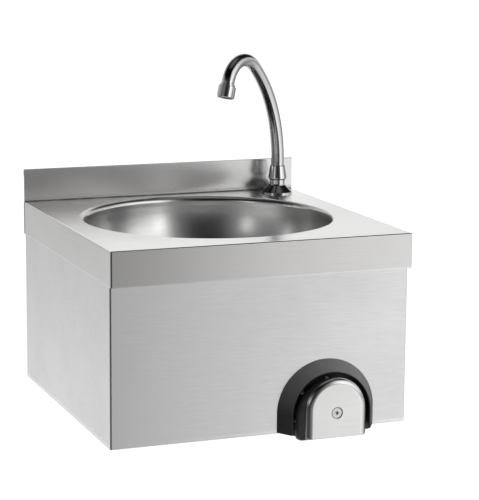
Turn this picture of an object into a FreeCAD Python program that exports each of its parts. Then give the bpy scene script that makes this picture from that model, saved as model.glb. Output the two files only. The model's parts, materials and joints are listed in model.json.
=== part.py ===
import FreeCAD, Part
import math
import os

import Sketcher
import PartDesign

# Wall-hung hand wash sink with a knee operated valve.
# Millimetres, +X right, +Y to the wall, +Z up.
# Origin: centre of the four wall screw holes, on the wall plane.

os.makedirs("parts", exist_ok=True)
Vec = FreeCAD.Vector
doc = FreeCAD.newDocument("hand_wash_sink")
sheet = doc.addObject("Spreadsheet::Sheet", "dims")

# ---------------------------------------------------------------- dimensions
SIZES = [
    # deck, apron and upstand
    ("deck_w", 400.0), ("deck_d", 400.0), ("deck_z", 140.0), ("sheet_thk", 1.0), ("bend_out", 2.0),
    ("apron_ht", 45.0), ("apron_return", 8.7), ("upstand_ht", 45.0), ("upstand_dp", 3.0), ("hem_leg", 10.0),
    # bowl
    ("bowl_y", 193.0), ("rim_rad", 171.0), ("draw_rad", 7.0), ("lip_roll_rad", 164.017), ("lip_roll_dp", 6.512),
    ("lip_low_rad", 163.633), ("lip_dp", 12.0), ("wall_curve", 190.0), ("wall_low_rad", 115.294), ("wall_low_dp", 125.881),
    ("floor_curve", 51.739), ("flat_rad", 83.149), ("flat_dp", 142.614), ("bowl_dp", 143.0), ("sump_rad", 38.0), ("sump_fall", 5.5), ("seat_dp", 4.0),
    ("waste_hole", 24.0),
    # casing
    ("case_x", 198.5), ("case_y", 391.0), ("case_low", 108.0), ("case_top", 138.5), ("flange_in", 168.0),
    ("wall_x", 184.0), ("wall_z", 70.0), ("wall_hole", 4.5), ("ret_w", 15.5),
    ("rail_x", 178.0), ("rail_z", 85.0), ("rail_ht", 30.0), ("rail_dp", 17.0), ("rail_thk", 1.5),
    # faucet
    ("tap_x", 164.0), ("tap_y", 36.0), ("tap_hole", 11.25), ("tap_flange", 21.3), ("neck_rad", 10.5),
    ("shank_rad", 10.45), ("shank_len", 40.0), ("socket_rad", 7.45), ("nut_rad", 13.0), ("nut_top_rad", 10.5),
    ("tube_rad", 9.0), ("tube_thk", 1.0), ("spout_az", 215.0), ("spout_start", 28.5), ("spout_rise", 46.0),
    ("arc_a_rad", 185.0), ("arc_a_deg", 49.3), ("arc_b_rad", 39.3), ("arc_b_deg", 113.3), ("spout_tail", 12.5),
    ("aer_rad", 12.2), ("aer_len", 19.0),
    ("plate_half", 25.0),
    # knee valve, collar and pad
    ("knee_x", 87.0), ("knee_z", 78.0), ("arch_z", 82.5), ("collar_rad", 66.5), ("collar_lip", 54.0),
    ("collar_in", 63.3), ("collar_lip_in", 51.0), ("collar_y", 411.0), ("collar_low", 107.0), ("sill_low", 113.2), ("sill_left", 41.0), ("sill_right", 149.0), ("floor_y", 393.0),
    ("rivet_ring", 41.8), ("neck_front", 400.0), ("valve_neck", 10.9), ("barrel_rad", 14.5), ("barrel_end", 312.0),
    ("chamber_rad", 9.5), ("rod_rad", 4.0), ("rod_bore", 4.05), ("seat_y", 349.0),
    ("pad_y", 427.0), ("pad_rad", 40.5), ("pad_arch_z", 74.5), ("pad_low", 110.5), ("pad_pan", 5.6), ("pan_edge", 3.4), ("pan_thk", 1.0),
    ("body_a_y", 421.4), ("body_a_z", 74.6), ("body_a_rad", 40.9), ("body_a_low", 110.9), ("body_a_cnr", 1.0),
    ("body_b_y", 417.5), ("body_b_z", 79.0), ("body_b_rad", 43.6), ("body_b_low", 112.4), ("body_b_cnr", 3.0),
    ("body_c_y", 411.5), ("body_c_z", 83.8), ("body_c_rad", 46.6), ("body_c_low", 113.9), ("body_c_cnr", 5.0),
    ("body_d_y", 406.4), ("body_d_z", 85.9), ("body_d_rad", 47.6), ("body_d_low", 114.4), ("body_d_cnr", 6.0),
    # pipes and premixer
    ("pipe_rad", 5.0), ("pipe_bore", 4.0), ("pipe_bend", 30.0), ("pipe_z", 19.0), ("port_y", 366.0),
    ("port_rad", 8.3), ("mix_x", 26.0), ("mix_y", 335.0), ("mix_low", 88.0), ("mix_top", 54.0),
    ("inlet_dx", 12.0), ("inlet_z", 68.0), ("inlet_end", 300.0), ("knob_rad", 13.0),
]


class Dim:
    """A size from the sheet with its arithmetic: .v is the number now, .t is the text that binds it."""

    def __init__(self, v, t):
        self.v, self.t = float(v), t

    def _mix(self, o, sign, flip=False):
        o = dim(o)
        a, b = (o, self) if flip else (self, o)
        v = {"+": a.v + b.v, "-": a.v - b.v, "*": a.v * b.v}[sign] if sign != "/" else a.v / b.v
        return Dim(v, "(%s %s %s)" % (a.t, sign, b.t))

    def __add__(self, o): return self._mix(o, "+")
    def __radd__(self, o): return self._mix(o, "+", True)
    def __sub__(self, o): return self._mix(o, "-")
    def __rsub__(self, o): return self._mix(o, "-", True)
    def __mul__(self, o): return self._mix(o, "*")
    def __rmul__(self, o): return self._mix(o, "*", True)
    def __truediv__(self, o): return self._mix(o, "/")
    def __neg__(self): return Dim(-self.v, "(0 - %s)" % self.t)


def dim(x):
    return x if isinstance(x, Dim) else Dim(x, "%.9g" % x)


class Sizes:
    pass


d = Sizes()
for row, (alias, number) in enumerate(SIZES, start=1):
    sheet.set("A%d" % row, alias.replace("_", " "))
    sheet.set("B%d" % row, "%g" % number)
    sheet.setAlias("B%d" % row, alias)
    setattr(d, alias, Dim(number, "dims." + alias))
doc.recompute()


# ---------------------------------------------------------------- helpers
def bind(obj, prop, size):
    obj.setExpression(prop, dim(size).t)


def place(obj, x=0, y=0, z=0, rot=None):
    if rot is not None:
        obj.Placement = FreeCAD.Placement(Vec(dim(x).v, dim(y).v, dim(z).v), rot)
    for axis, size in zip("xyz", (x, y, z)):
        bind(obj, "Placement.Base." + axis, size)


def body(label):
    b = doc.addObject("PartDesign::Body", label)
    b.Label = label
    return b


def plane(b, role):
    return [f for f in b.Origin.OriginFeatures if f.Role == role][0]


def sketch(b, name, role, loops=(), circles=(), at=(0, 0, 0)):
    """Closed loops of (x, y) corners, each corner dimensioned from the sketch origin. A loop is (corners, arcs), where
    arcs maps the number of a side to (radius, turn): turn is 1 for counter-clockwise, -1 for clockwise."""
    sk = b.newObject("Sketcher::SketchObject", name)
    sk.AttachmentSupport = [(plane(b, role), "")]
    sk.MapMode = "FlatFace"
    for axis, size in zip("xyz", at):
        if dim(size).v:
            bind(sk, "AttachmentOffset.Base." + axis, size)
    first = 0
    for corners, arcs in loops:
        n = len(corners)
        pts = [(dim(x), dim(y)) for x, y in corners]
        for i in range(n):
            a = Vec(pts[i][0].v, pts[i][1].v, 0)
            c = Vec(pts[(i + 1) % n][0].v, pts[(i + 1) % n][1].v, 0)
            if i in arcs:
                rad, turn = dim(arcs[i][0]), arcs[i][1]
                chord = c - a
                half = chord.Length / 2
                side = Vec(-chord.y, chord.x, 0)
                side.normalize()
                rise = math.sqrt(max(rad.v ** 2 - half ** 2, 0.0))
                centre = (a + c) * 0.5 + side * rise * turn
                a0 = math.atan2(a.y - centre.y, a.x - centre.x)
                a1 = math.atan2(c.y - centre.y, c.x - centre.x)
                if turn < 0:
                    a0, a1 = a1, a0
                while a1 <= a0:
                    a1 += 2 * math.pi
                sk.addGeometry(Part.ArcOfCircle(Part.Circle(centre, Vec(0, 0, 1), rad.v), a0, a1))
            else:
                sk.addGeometry(Part.LineSegment(a, c))
        start = lambda i: 2 if (i in arcs and arcs[i][1] < 0) else 1
        end = lambda i: 1 if (i in arcs and arcs[i][1] < 0) else 2
        for i in range(n):
            j = (i + 1) % n
            sk.addConstraint(Sketcher.Constraint("Coincident", first + i, end(i), first + j, start(j)))
        for i in range(n):
            for kind, size in (("DistanceX", pts[i][0]), ("DistanceY", pts[i][1])):
                k = sk.addConstraint(Sketcher.Constraint(kind, -1, 1, first + i, start(i), size.v))
                bind(sk, "Constraints[%d]" % k, size)
            if i in arcs:
                k = sk.addConstraint(Sketcher.Constraint("Radius", first + i, dim(arcs[i][0]).v))
                bind(sk, "Constraints[%d]" % k, arcs[i][0])
        first += n
    for cx, cy, rad in circles:
        cx, cy, rad = dim(cx), dim(cy), dim(rad)
        g = sk.addGeometry(Part.Circle(Vec(cx.v, cy.v, 0), Vec(0, 0, 1), rad.v))
        for kind, size in (("DistanceX", cx), ("DistanceY", cy)):
            k = sk.addConstraint(Sketcher.Constraint(kind, -1, 1, g, 3, size.v))
            bind(sk, "Constraints[%d]" % k, size)
        k = sk.addConstraint(Sketcher.Constraint("Radius", g, rad.v))
        bind(sk, "Constraints[%d]" % k, rad)
    return sk


def rect(x0, y0, x1, y1):
    return ([(x0, y0), (x1, y0), (x1, y1), (x0, y1)], {})


def arch(cx, cz, rad, low):
    """A D standing on its flat side."""
    rad = dim(rad)
    return ([(cx - rad, low), (cx + rad, low), (cx + rad, cz), (cx, cz + rad), (cx - rad, cz)], {2: (rad, 1), 3: (rad, 1)})


def soft_arch(cx, cz, rad, low, corner):
    """The same with its two lower corners rounded."""
    rad, low, corner = dim(rad), dim(low), dim(corner)
    return ([(cx - rad + corner, low), (cx + rad - corner, low), (cx + rad, low + corner), (cx + rad, cz), (cx, cz + rad),
             (cx - rad, cz), (cx - rad, low + corner)], {1: (corner, 1), 3: (rad, 1), 4: (rad, 1), 6: (corner, 1)})


def volume(b):
    doc.recompute()
    return b.Shape.Volume if not b.Shape.isNull() else 0.0


def feature(b, kind, sk, size=None, reverse=False, removes=False):
    before = volume(b)
    f = b.newObject("PartDesign::" + kind, kind.lower())
    f.Profile = sk
    if size is not None:
        bind(f, "Length", size)
    if reverse:
        f.Reversed = True
    if kind in ("Revolution", "Groove"):
        f.ReferenceAxis = (sk, ["V_Axis"])
        f.Angle = 360
    after = volume(b)
    if (after >= before) if removes else (after <= before):
        raise SystemExit("%s %s on %s changed the volume from %.1f to %.1f" % (kind, sk.Name, b.Label, before, after))
    return f


def pad(b, sk, size, reverse=False):
    return feature(b, "Pad", sk, size, reverse)


def pocket(b, sk, size, reverse=False):
    return feature(b, "Pocket", sk, size, reverse, True)


def revolve(b, sk):
    return feature(b, "Revolution", sk)


def groove(b, sk):
    return feature(b, "Groove", sk, removes=True)


def loft(b, kind, first, *others):
    before = volume(b)
    f = b.newObject("PartDesign::" + kind, kind.lower())
    f.Profile = first
    f.Sections = [(o, [""]) for o in others]
    f.Ruled = len(others) == 1
    after = volume(b)
    if (after <= before) if kind.startswith("Add") else (after >= before):
        raise SystemExit("%s on %s changed the volume from %.1f to %.1f" % (kind, b.Label, before, after))
    return f


def blend(b, size, wanted, kind="Fillet"):
    """Rounds or chamfers the edges of the tip for which wanted(edge) holds."""
    doc.recompute()
    base = b.Tip
    names = ["Edge%d" % (i + 1) for i, e in enumerate(base.Shape.Edges) if wanted(e)]
    if not names:
        raise SystemExit("no edge to round on " + b.Label)
    f = b.newObject("PartDesign::" + kind, kind.lower())
    f.Base = (base, names)
    bind(f, "Radius" if kind == "Fillet" else "Size", size)
    doc.recompute()
    if f.Shape.isNull() or "Invalid" in f.State or "Error" in f.State:
        raise SystemExit("rounding failed on " + b.Label)
    return f


def near(a, b, tol=0.02):
    return abs(a - dim(b).v) < tol


def flat(e, axis, at):
    lo, hi = getattr(e.BoundBox, axis + "Min"), getattr(e.BoundBox, axis + "Max")
    return near(lo, at) and near(hi, at)


def turned(label, corners, arcs=None, x=0, y=0, z=0, rot=None):
    """A lathe part: corners are (radius, height) about the body's own Z."""
    b = body(label)
    revolve(b, sketch(b, label + "_profile", "XZ_Plane", [(corners, arcs or {})]))
    place(b, x, y, z, rot)
    return b


def ring(r0, r1, z0, z1):
    return [(r0, z0), (r1, z0), (r1, z1), (r0, z1)]


def hexagon(flats):
    half = dim(flats) / 2
    far = half * 1.154700538
    return ([(far, 0), (far / 2, half), (-far / 2, half), (-far, 0), (-far / 2, -half), (far / 2, -half)], {})


def group(label, bodies):
    g = doc.addObject("Part::Compound", label)
    g.Label = label
    g.Links = bodies
    return g


nodes = []


def node(obj):
    nodes.append(obj)
    return obj


# the lathe axis turned so that the part's height runs towards the wall
TO_WALL = FreeCAD.Rotation(Vec(1, 0, 0), -90)
t = d.sheet_thk
hw = d.deck_w / 2

# ---------------------------------------------------------------- deck, lip, aprons and upstand
b = node(body("deck_top"))
low = d.deck_z - d.apron_ht
pad(b, sketch(b, "deck_outline", "XY_Plane", [rect(-hw, -d.deck_d, hw, 0)], at=(0, 0, low)), d.apron_ht)
pocket(b, sketch(b, "deck_inside", "XY_Plane", [rect(t - hw, t - d.deck_d, hw - t, 1)], at=(0, 0, low)), d.apron_ht - t, True)
pocket(b, sketch(b, "deck_back", "XY_Plane", [rect(t - hw, t - d.upstand_dp, hw - t, 1)], at=(0, 0, low)), d.apron_ht + 1, True)
blend(b, d.bend_out, lambda e: (flat(e, "Z", d.deck_z) and (flat(e, "X", hw) or flat(e, "X", -hw) or flat(e, "Y", -d.deck_d)))
      or (flat(e, "Y", -d.deck_d) and (flat(e, "X", hw) or flat(e, "X", -hw))))
blend(b, d.bend_out - t, lambda e: (flat(e, "Z", d.deck_z - t) and (flat(e, "X", hw - t) or flat(e, "X", t - hw) or flat(e, "Y", t - d.deck_d)))
      or (flat(e, "Y", t - d.deck_d) and (flat(e, "X", hw - t) or flat(e, "X", t - hw))))
pad(b, sketch(b, "apron_turn_in", "XY_Plane", [rect(t / 2 - hw, t / 2 - d.deck_d, hw - t / 2, d.apron_return - d.deck_d)], at=(0, 0, low)), t)
top, up = d.deck_z, d.deck_z + d.upstand_ht
pad(b, sketch(b, "upstand_section", "YZ_Plane", [([
    (-d.upstand_dp, top - t), (-d.upstand_dp, up), (0, up), (0, up - d.hem_leg), (-t, up - d.hem_leg), (-t, up - t),
    (t - d.upstand_dp, up - t), (t - d.upstand_dp, top - t)], {})], at=(0, 0, -hw)), d.deck_w)
blend(b, 1.2, lambda e: flat(e, "Y", -d.upstand_dp) and flat(e, "Z", up) and e.Length > 300)
pocket(b, sketch(b, "bowl_opening", "XY_Plane", circles=[(0, -d.bowl_y, d.rim_rad)], at=(0, 0, top)), 1.5)
# the lip rolls over through 86 degrees, so that it leans in by 4 degrees and runs on into the bowl without a corner
revolve(b, sketch(b, "rolled_lip", "XZ_Plane", [([
    (d.rim_rad, top), (d.lip_roll_rad, top - d.lip_roll_dp), (d.lip_low_rad, top - d.lip_dp), (d.lip_low_rad + t, top - d.lip_dp),
    (d.lip_roll_rad + t * 0.9976, top - d.lip_roll_dp - t * 0.0698), (d.rim_rad, top - t)],
    {0: (d.draw_rad, 1), 4: (d.draw_rad - t, -1)})], at=(0, 0, d.bowl_y)))
pocket(b, sketch(b, "tap_hole", "XY_Plane", circles=[(d.tap_x, -d.tap_y, d.tap_hole)], at=(0, 0, top)), 1.5)

# ---------------------------------------------------------------- bowl
b = node(body("bowl"))
floor = d.deck_z - d.bowl_dp
sump = floor - d.sump_fall
seat = sump - d.seat_dp
# a round bowl: the wall's arc from 4 to 42 degrees, a smaller arc to 83 degrees, then the floor's fall to the outlet
revolve(b, sketch(b, "bowl_section", "XZ_Plane", [([
    (d.lip_low_rad, top - d.lip_dp), (d.wall_low_rad, top - d.wall_low_dp), (d.flat_rad, top - d.flat_dp), (d.sump_rad, sump),
    (d.sump_rad - 2, seat), (d.waste_hole, seat), (d.waste_hole, seat - t), (d.sump_rad - 1.4, seat - t), (d.sump_rad + 0.6, sump - t),
    (d.flat_rad + t * 0.122, top - d.flat_dp - t * 0.9925), (d.wall_low_rad + t * 0.743, top - d.wall_low_dp - t * 0.669),
    (d.lip_low_rad + t, top - d.lip_dp)],
    {0: (d.wall_curve, -1), 1: (d.floor_curve, -1), 9: (d.floor_curve + t, 1), 10: (d.wall_curve + t, 1)})]))
place(b, 0, -d.bowl_y, 0)

# ---------------------------------------------------------------- casing
b = node(body("cabinet_shell"))
cx, cy = d.case_x, d.case_y
pad(b, sketch(b, "case_section", "XY_Plane", [([
    (-cx, 0), (-cx, -cy), (cx, -cy), (cx, 0), (d.flange_in, 0), (d.flange_in, -t), (cx - t, -t), (cx - t, t - cy),
    (t - cx, t - cy), (t - cx, -t), (-d.flange_in, -t), (-d.flange_in, 0)], {})], at=(0, 0, -d.case_low)), d.case_low + d.case_top)
blend(b, d.bend_out, lambda e: e.Length > 200 and (flat(e, "X", cx) or flat(e, "X", -cx)) and (flat(e, "Y", -cy) or flat(e, "Y", 0)))
blend(b, d.bend_out - t, lambda e: e.Length > 200 and (flat(e, "X", cx - t) or flat(e, "X", t - cx)) and (flat(e, "Y", t - cy) or flat(e, "Y", -t)))
inner = cx - d.ret_w
pad(b, sketch(b, "bottom_turn_in", "XY_Plane", [([
    (t / 2 - cx, t / 2 - cy), (cx - t / 2, t / 2 - cy), (cx - t / 2, -t / 2), (inner, -t / 2), (inner, d.ret_w - cy),
    (-inner, d.ret_w - cy), (-inner, -t / 2), (t / 2 - cx, -t / 2)], {})], at=(0, 0, -d.case_low)), t)
pocket(b, sketch(b, "wall_holes", "XZ_Plane", circles=[(i * d.wall_x, k * d.wall_z, d.wall_hole) for i in (-1, 1) for k in (-1, 1)],
                 at=(0, 0, -0.5)), 4, True)
rivets = [math.radians(a) for a in (-14, 38, 90, 142, 194)]
spots = [(d.knee_x + d.rivet_ring * math.cos(a), -d.arch_z + d.rivet_ring * math.sin(a)) for a in rivets]
pocket(b, sketch(b, "valve_holes", "XZ_Plane", circles=[(d.knee_x, -d.knee_z, d.valve_neck + 0.3)] + [(x, z, 1.6) for x, z in spots],
                 at=(0, 0, cy + 1)), 4)

b = node(body("rear_rail"))
pad(b, sketch(b, "rail_section", "YZ_Plane", [([
    (-t, d.rail_z), (-t, d.rail_z + d.rail_ht), (-t - d.rail_thk, d.rail_z + d.rail_ht), (-t - d.rail_thk, d.rail_z + d.rail_thk),
    (-t - d.rail_dp, d.rail_z + d.rail_thk), (-t - d.rail_dp, d.rail_z)], {})], at=(0, 0, -d.rail_x)), d.rail_x * 2)

# ---------------------------------------------------------------- waste outlet
plate = seat + 1.0
node(turned("strainer_seal", ring(25.2, 32.0, seat, plate), None, 0, -d.bowl_y, 0))
b = node(turned("strainer_plate", [
    (3.3, seat - 2.5), (22.3, seat - 2.5), (23.4, plate), (33.0, plate), (33.4, plate + 0.5), (33.0, plate + 1.0), (22.8, plate + 1.0),
    (21.5, seat - 1.5), (3.3, seat - 1.5)], None, 0, -d.bowl_y, 0))
for count, away, rad in ((6, 9.0, 2.4), (12, 16.5, 2.6)):
    hole = pocket(b, sketch(b, "drain_hole", "XY_Plane", circles=[(away, 0, rad)], at=(0, 0, seat)), 5)
    pattern = b.newObject("PartDesign::PolarPattern", "drain_holes")
    pattern.Originals = [hole]
    pattern.Axis = (plane(b, "Z_Axis"), [""])
    pattern.Angle = 360
    pattern.Occurrences = count
    b.Tip = pattern
    doc.recompute()
node(turned("strainer_screw", [
    (0, seat - 40), (3.0, seat - 40), (3.0, seat - 1.5), (6.0, seat - 1.5), (6.0, seat - 0.3), (4.6, seat + 1.2), (0, seat + 1.2)],
    None, 0, -d.bowl_y, 0))
node(turned("waste_gasket", ring(25.0, 34.0, seat - t - 3, seat - t), None, 0, -d.bowl_y, 0))
b = node(turned("waste_body", [
    (24.5, seat - 4), (35.0, seat - 4), (35.0, seat - 8), (23.9, seat - 12), (23.9, seat - 45), (19.0, seat - 45), (19.0, seat - 14),
    (24.5, seat - 9)], None, 0, -d.bowl_y, 0))
pad(b, sketch(b, "cross_bar", "XY_Plane", [rect(-21, -4, 21, 4)], at=(0, 0, seat - 34)), 10)
pocket(b, sketch(b, "screw_hole", "XY_Plane", circles=[(0, 0, 3.05)], at=(0, 0, seat - 22)), 14)

# ---------------------------------------------------------------- faucet base (heights from the deck top)
tap = dict(x=d.tap_x, y=-d.tap_y, z=d.deck_z)
sl, sr, so = -d.shank_len, d.shank_rad, d.socket_rad
node(turned("faucet_body", [
    (5.05, sl), (sr, sl), (sr, 2.5), (19.0, 2.5), (19.0, 0), (d.tap_flange, 0), (d.tap_flange, 2.0), (d.tap_flange - 0.7, 2.8),
    (11.2, 11.8), (d.neck_rad, 13.6), (d.neck_rad, 19.0), (10.2, 19.0), (10.2, 25.5), (so, 25.5), (so, 7.0), (4.5, 7.0), (4.5, -32), (5.05, -32)],
    {}, **tap))
node(turned("flange_seal", ring(12.0, 18.6, 0, 2.3), None, **tap))
node(turned("swivel_nut", [
    (10.3, 19.2), (11.6, 19.2), (d.nut_rad, 21.2), (d.nut_rad, 22.6), (d.nut_top_rad, 39.2), (9.9, 40.0), (9.06, 40.0), (9.06, 30.0),
    (10.3, 30.0)], None, **tap))
node(turned("swivel_washer", ring(9.1, 10.2, 28.6, 29.95), None, **tap))
b = node(body("faucet_backing_plate"))
pad(b, sketch(b, "backing_outline", "XY_Plane", [rect(-d.plate_half, -d.plate_half, d.plate_half, d.plate_half)], [(0, 0, d.tap_hole)],
              at=(0, 0, -3)), 2)
place(b, d.tap_x, -d.tap_y, d.deck_z)
node(turned("deck_washer", ring(11.6, 17.5, -5.5, -3), None, **tap))
node(turned("clamp_washer", ring(11.0, 18.0, -7.0, -5.5), None, **tap))
b = node(body("shank_nut"))
pad(b, sketch(b, "shank_hex", "XY_Plane", [hexagon(27)], [(0, 0, sr + 0.05)], at=(0, 0, -16)), 9)
place(b, d.tap_x, -d.tap_y, d.deck_z)

# ---------------------------------------------------------------- spout, in its own plane through the faucet axis
ROT_SPOUT = FreeCAD.Rotation(Vec(0, 0, 1), d.spout_az.v)


def spout_rot(obj):
    obj.Placement = FreeCAD.Placement(Vec(d.tap_x.v, -d.tap_y.v, d.deck_z.v), ROT_SPOUT)
    for axis, size in zip("xyz", (d.tap_x, -d.tap_y, d.deck_z)):
        bind(obj, "Placement.Base." + axis, size)
    bind(obj, "Placement.Rotation.Angle", d.spout_az)


node(turned("spout_spigot", [
    (5.0, 8.0), (7.4, 8.0), (7.4, 12.0), (6.0, 12.0), (6.0, 13.6), (7.4, 13.6), (7.4, 18.0), (6.0, 18.0), (6.0, 19.6), (7.4, 19.6),
    (7.4, 25.6), (10.0, 25.6), (10.0, 28.5), (7.95, 28.5), (7.95, 36.0), (5.0, 36.0)], None, **tap))
rings = [turned("spout_oring_%d" % (i + 1), ring(6.05, 7.4, z0 + 0.1, z0 + 1.5), None, **tap) for i, z0 in enumerate((12.0, 18.0))]
node(group("spout_orings", rings))

# two tangent arcs between straight ends: the tube's centre line
ra, rb = d.arc_a_rad.v, d.arc_b_rad.v
fa, fb = math.radians(d.arc_a_deg.v), math.radians(d.arc_a_deg.v + d.arc_b_deg.v)
p0 = (0.0, d.spout_rise.v)
p1 = (ra - ra * math.cos(fa), p0[1] + ra * math.sin(fa))
cb = (p1[0] + rb * math.cos(fa), p1[1] - rb * math.sin(fa))
p2 = (cb[0] - rb * math.cos(fb), cb[1] + rb * math.sin(fb))
tail = (math.sin(fb), math.cos(fb))
p3 = (p2[0] + d.spout_tail.v * tail[0], p2[1] + d.spout_tail.v * tail[1])
b = node(body("spout_tube"))
path = b.newObject("Sketcher::SketchObject", "spout_line")
path.AttachmentSupport = [(plane(b, "XZ_Plane"), "")]
path.MapMode = "FlatFace"
mid = lambda c, r, f: Vec(c[0] - r * math.cos(f), c[1] + r * math.sin(f), 0)
path.addGeometry(Part.LineSegment(Vec(0, d.spout_start.v, 0), Vec(0, p0[1], 0)))
path.addGeometry(Part.Arc(Vec(p0[0], p0[1], 0), mid((ra, p0[1]), ra, fa / 2), Vec(p1[0], p1[1], 0)))
path.addGeometry(Part.Arc(Vec(p1[0], p1[1], 0), mid(cb, rb, (fa + fb) / 2), Vec(p2[0], p2[1], 0)))
path.addGeometry(Part.LineSegment(Vec(p2[0], p2[1], 0), Vec(p3[0], p3[1], 0)))
# a clockwise arc is stored the other way round, so its end points swap
ends = []
for g in range(4):
    pts = [path.getPoint(g, 1), path.getPoint(g, 2)]
    want = Vec(0, d.spout_start.v, 0) if g == 0 else last
    first_is = 1 if pts[0].distanceToPoint(want) < 1e-6 else 2
    ends.append((first_is, 3 - first_is))
    last = pts[2 - first_is]
for g in range(3):
    path.addConstraint(Sketcher.Constraint("Tangent", g, ends[g][1], g + 1, ends[g + 1][0]))
path.addConstraint(Sketcher.Constraint("Vertical", 0))
path.addConstraint(Sketcher.Constraint("PointOnObject", 0, ends[0][0], -2))
for kind, args, size in (
    ("DistanceY", (-1, 1, 0, ends[0][0]), d.spout_start), ("DistanceY", (-1, 1, 0, ends[0][1]), d.spout_rise),
    ("Radius", (1,), d.arc_a_rad), ("Radius", (2,), d.arc_b_rad), ("Distance", (3,), d.spout_tail),
):
    k = path.addConstraint(Sketcher.Constraint(kind, *args, size.v))
    bind(path, "Constraints[%d]" % k, size)
# the two turning points, and so the two angles, from the same numbers as the aerator's place
path.addConstraint(Sketcher.Constraint("DistanceX", -1, 1, 1, ends[1][1], p1[0]))
path.addConstraint(Sketcher.Constraint("DistanceX", -1, 1, 2, ends[2][1], p2[0]))
doc.recompute()
section = sketch(b, "spout_section", "XY_Plane", circles=[(0, 0, d.tube_rad), (0, 0, d.tube_rad - d.tube_thk)], at=(0, 0, d.spout_start))
pipe = b.newObject("PartDesign::AdditivePipe", "spout_sweep")
pipe.Profile = section
pipe.Spine = (path, [])
pipe.Mode = "Frenet"
doc.recompute()
spout_rot(b)
line = (d.spout_rise.v - d.spout_start.v) + ra * fa + rb * (fb - fa) + d.spout_tail.v
area = math.pi * (d.tube_rad.v ** 2 - (d.tube_rad.v - d.tube_thk.v) ** 2)
print("spout tube: volume %.0f, section times length %.0f" % (volume(b), area * line))

# outlet: its own height runs from the mouth back up the tube
tip = (p3[0] + 9.5 * tail[0], p3[1] + 9.5 * tail[1])
az = math.radians(d.spout_az.v)
flow = Vec(tail[0] * math.cos(az), tail[0] * math.sin(az), tail[1])
mouth = Vec(d.tap_x.v + tip[0] * math.cos(az), -d.tap_y.v + tip[0] * math.sin(az), d.deck_z.v + tip[1])
ROT_TIP = FreeCAD.Rotation(Vec(0, 0, 1), Vec(-flow.x, -flow.y, -flow.z))
print("spout mouth", mouth, "flow", flow)
al = d.aer_len


def at_mouth(obj):
    for axis in "xyz":
        obj.setExpression("Placement.Base." + axis, None)
    obj.Placement = FreeCAD.Placement(mouth, ROT_TIP)
    return obj


node(at_mouth(turned("aerator_housing", [
    (10.5, 0.0), (11.7, 0.0), (d.aer_rad, 0.5), (d.aer_rad, al - 3.6), (11.6, al - 3.0), (10.5, al - 3.0), (10.5, al - 0.6), (10.0, al),
    (9.05, al), (9.05, 9.45), (10.5, 9.45)])))
b = node(at_mouth(turned("aerator_insert", [(0, 1.2), (10.4, 1.2), (10.4, 7.4), (9.0, 7.4), (9.0, 2.6), (0, 2.6)])))
for count, away in ((6, 3.0), (12, 6.0)):
    hole = pocket(b, sketch(b, "jet", "XY_Plane", circles=[(away, 0, 0.8)], at=(0, 0, 3)), 3)
    pattern = b.newObject("PartDesign::PolarPattern", "jets")
    pattern.Originals = [hole]
    pattern.Axis = (plane(b, "Z_Axis"), [""])
    pattern.Angle = 360
    pattern.Occurrences = count
    b.Tip = pattern
    doc.recompute()
node(at_mouth(turned("aerator_washer", ring(7.2, 10.3, 7.5, 9.4))))

# ---------------------------------------------------------------- knee collar
kx, kz, az_ = d.knee_x, -d.knee_z, -d.arch_z
b = node(body("knee_collar"))
loft(b, "AdditiveLoft",
     sketch(b, "collar_foot", "XZ_Plane", [arch(kx, az_, d.collar_rad, -d.collar_low)], at=(0, 0, cy)),
     sketch(b, "collar_front", "XZ_Plane", [arch(kx, az_, d.collar_lip, -d.collar_low)], at=(0, 0, d.collar_y)))
loft(b, "SubtractiveLoft",
     sketch(b, "collar_hollow", "XZ_Plane", [arch(kx, az_, d.collar_in, -d.collar_low - 8)], at=(0, 0, d.floor_y)),
     sketch(b, "collar_mouth", "XZ_Plane", [arch(kx, az_, d.collar_lip_in, -d.collar_low - 8)], at=(0, 0, d.collar_y)))
pocket(b, sketch(b, "collar_holes", "XZ_Plane", circles=[(kx, kz, d.valve_neck + 0.3)] + [(x, z, 1.6) for x, z in spots],
                 at=(0, 0, d.floor_y + 1)), 4)
pad(b, sketch(b, "collar_sill", "XZ_Plane", [rect(d.sill_left, -d.sill_low, d.sill_right, 2 - d.collar_low)], at=(0, 0, cy)), d.floor_y - cy)
blend(b, 3.5, lambda e: flat(e, "Z", -d.sill_low) and abs(e.BoundBox.XLength) < 0.01)
blend(b, 1.2, lambda e: flat(e, "Y", -d.collar_y) and e.Length > 20)

one = [turned("collar_rivet_%d" % (i + 1), [
    (0.9, -d.floor_y - 1.2), (2.1, -d.floor_y - 1.2), (2.9, -d.floor_y - 0.4), (2.9, -d.floor_y), (1.55, -d.floor_y), (1.55, 1 - cy),
    (2.3, 1 - cy), (2.3, 3.5 - cy), (0.9, 3.5 - cy)], None, x, 0, z, TO_WALL) for i, (x, z) in enumerate(spots)]
node(group("collar_rivets", one))

# ---------------------------------------------------------------- knee valve (heights are row Y)
knee = dict(x=kx, y=0, z=kz, rot=TO_WALL)
vf, vn, br, be, ch = -d.neck_front, d.valve_neck, d.barrel_rad, -d.barrel_end, d.chamber_rad
b = node(body("valve_body"))
revolve(b, sketch(b, "valve_outside", "XZ_Plane", [([(0, vf), (vn, vf), (vn, -388), (17, -388), (17, -384), (br, -384), (br, be), (0, be)], {})]))
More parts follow.
